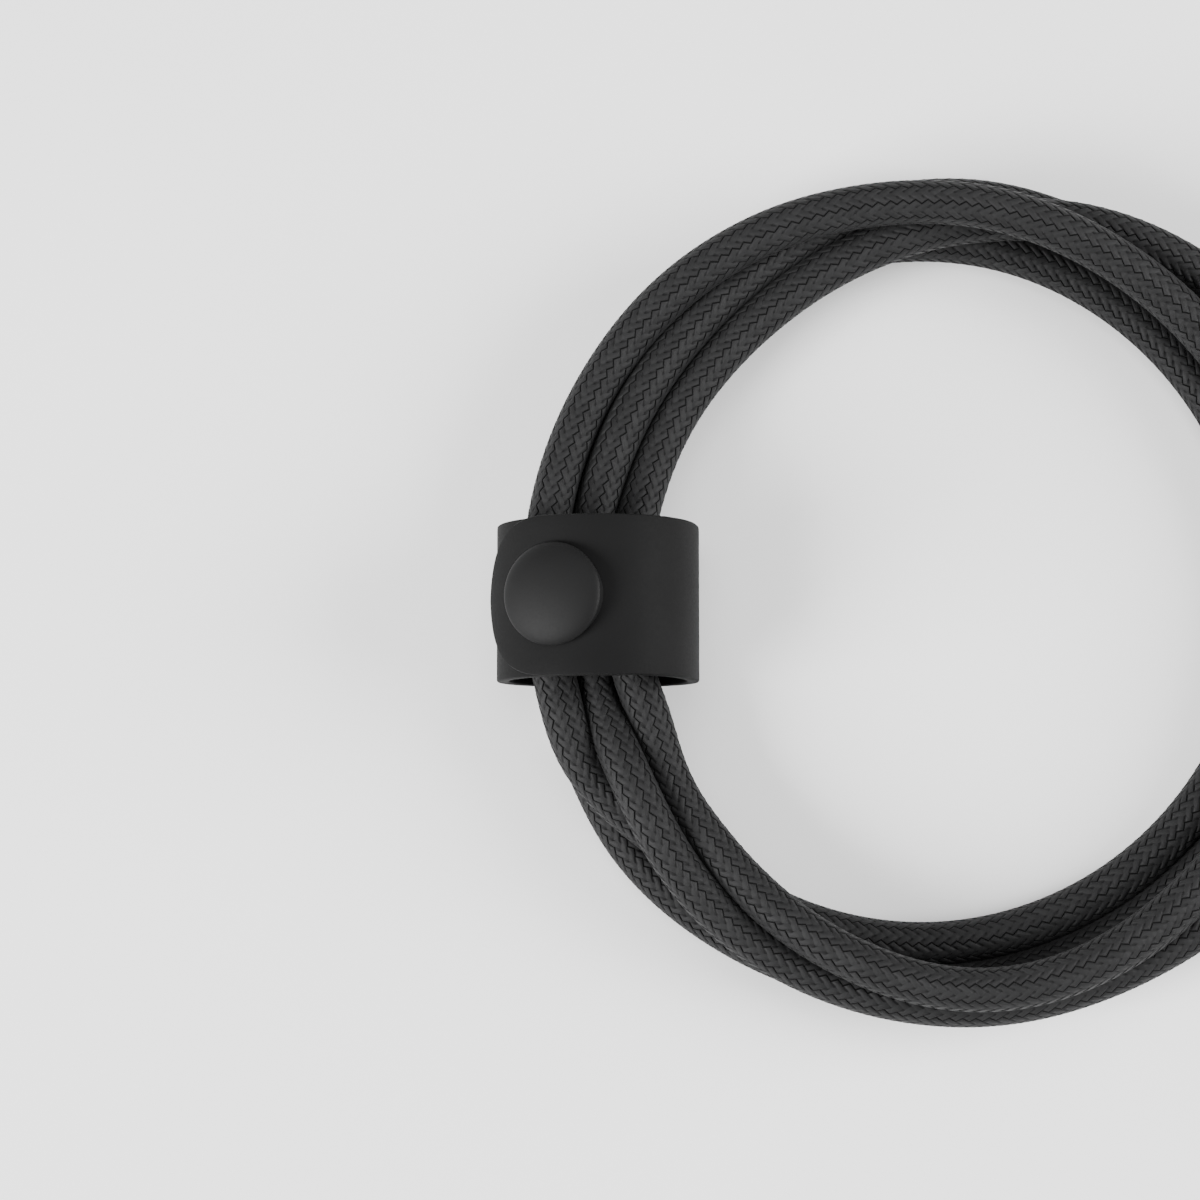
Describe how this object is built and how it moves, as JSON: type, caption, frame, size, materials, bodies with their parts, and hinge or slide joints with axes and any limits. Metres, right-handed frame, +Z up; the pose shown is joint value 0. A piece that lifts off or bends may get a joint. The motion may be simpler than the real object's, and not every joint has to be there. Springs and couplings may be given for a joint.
{
  "type": "charging cable",
  "caption": "Braided charging cable wound into a flat coil, held by a snap strap, with a reversible plug at each end.",
  "frame": {"origin": "centre of the lying cable's footprint, on the surface it lies on", "axes": "+Z up, +Y along the plugs, -X towards the strap"},
  "size_m": [0.092, 0.1002, 0.0176],
  "materials": {
    "braid": "charcoal polyester herringbone braid",
    "strap_rubber": "matte silicone",
    "cap_plastic": "satin moulded dome",
    "relief_rubber": "matte elastomer",
    "plug_plastic": "fine spark texture",
    "steel": "drawn and polished",
    "gold": "gold plate",
    "board": "solder mask",
    "black_plastic": "moulded",
    "copper": "bare strands"
  },
  "bodies": {
    "cable": {"board_a": "board", "board_b": "board", "cable_coil": "braid", "chip_a": "black_plastic", "chip_b": "black_plastic", "conductors_a": "copper", "conductors_b": "copper", "contacts_lower_a": "gold", "contacts_lower_b": "gold", "contacts_upper_a": "gold", "contacts_upper_b": "gold", "cover_a": "plug_plastic", "cover_b": "plug_plastic", "crimp_ring_a": "steel", "crimp_ring_b": "steel", "front_bezel_a": "plug_plastic", "front_bezel_b": "plug_plastic", "ground_spring_lower_a": "steel", "ground_spring_lower_b": "steel", "ground_spring_upper_a": "steel", "ground_spring_upper_b": "steel", "insulator_a": "black_plastic", "insulator_b": "black_plastic", "latch_plate_a": "steel", "latch_plate_b": "steel", "lead_a": "braid", "lead_b": "braid", "rear_bezel_a": "plug_plastic", "rear_bezel_b": "plug_plastic", "relief_a": "relief_rubber", "relief_b": "relief_rubber", "shell_a": "steel", "shell_b": "steel", "shield_can_a": "steel", "shield_can_b": "steel"},
    "strap": {"strap_band": "strap_rubber", "snap_stud": "steel", "snap_post": "steel"},
    "flap": {"strap_flap": "strap_rubber", "snap_cap": "cap_plastic", "snap_socket": "steel"}
  },
  "joints": [
    {"name": "strap_slide", "type": "hinge", "parent": "cable", "child": "strap", "pos_m": [-0.0082, 0, 0], "axis": [0, 0, 1], "range_deg": [-4, 4]},
    {"name": "flap_hinge", "type": "hinge", "parent": "strap", "child": "flap", "pos_m": [-0.03153, -0.0014, 0.0134], "axis": [0, 1, 0], "range_deg": [0, 100]}
  ]
}
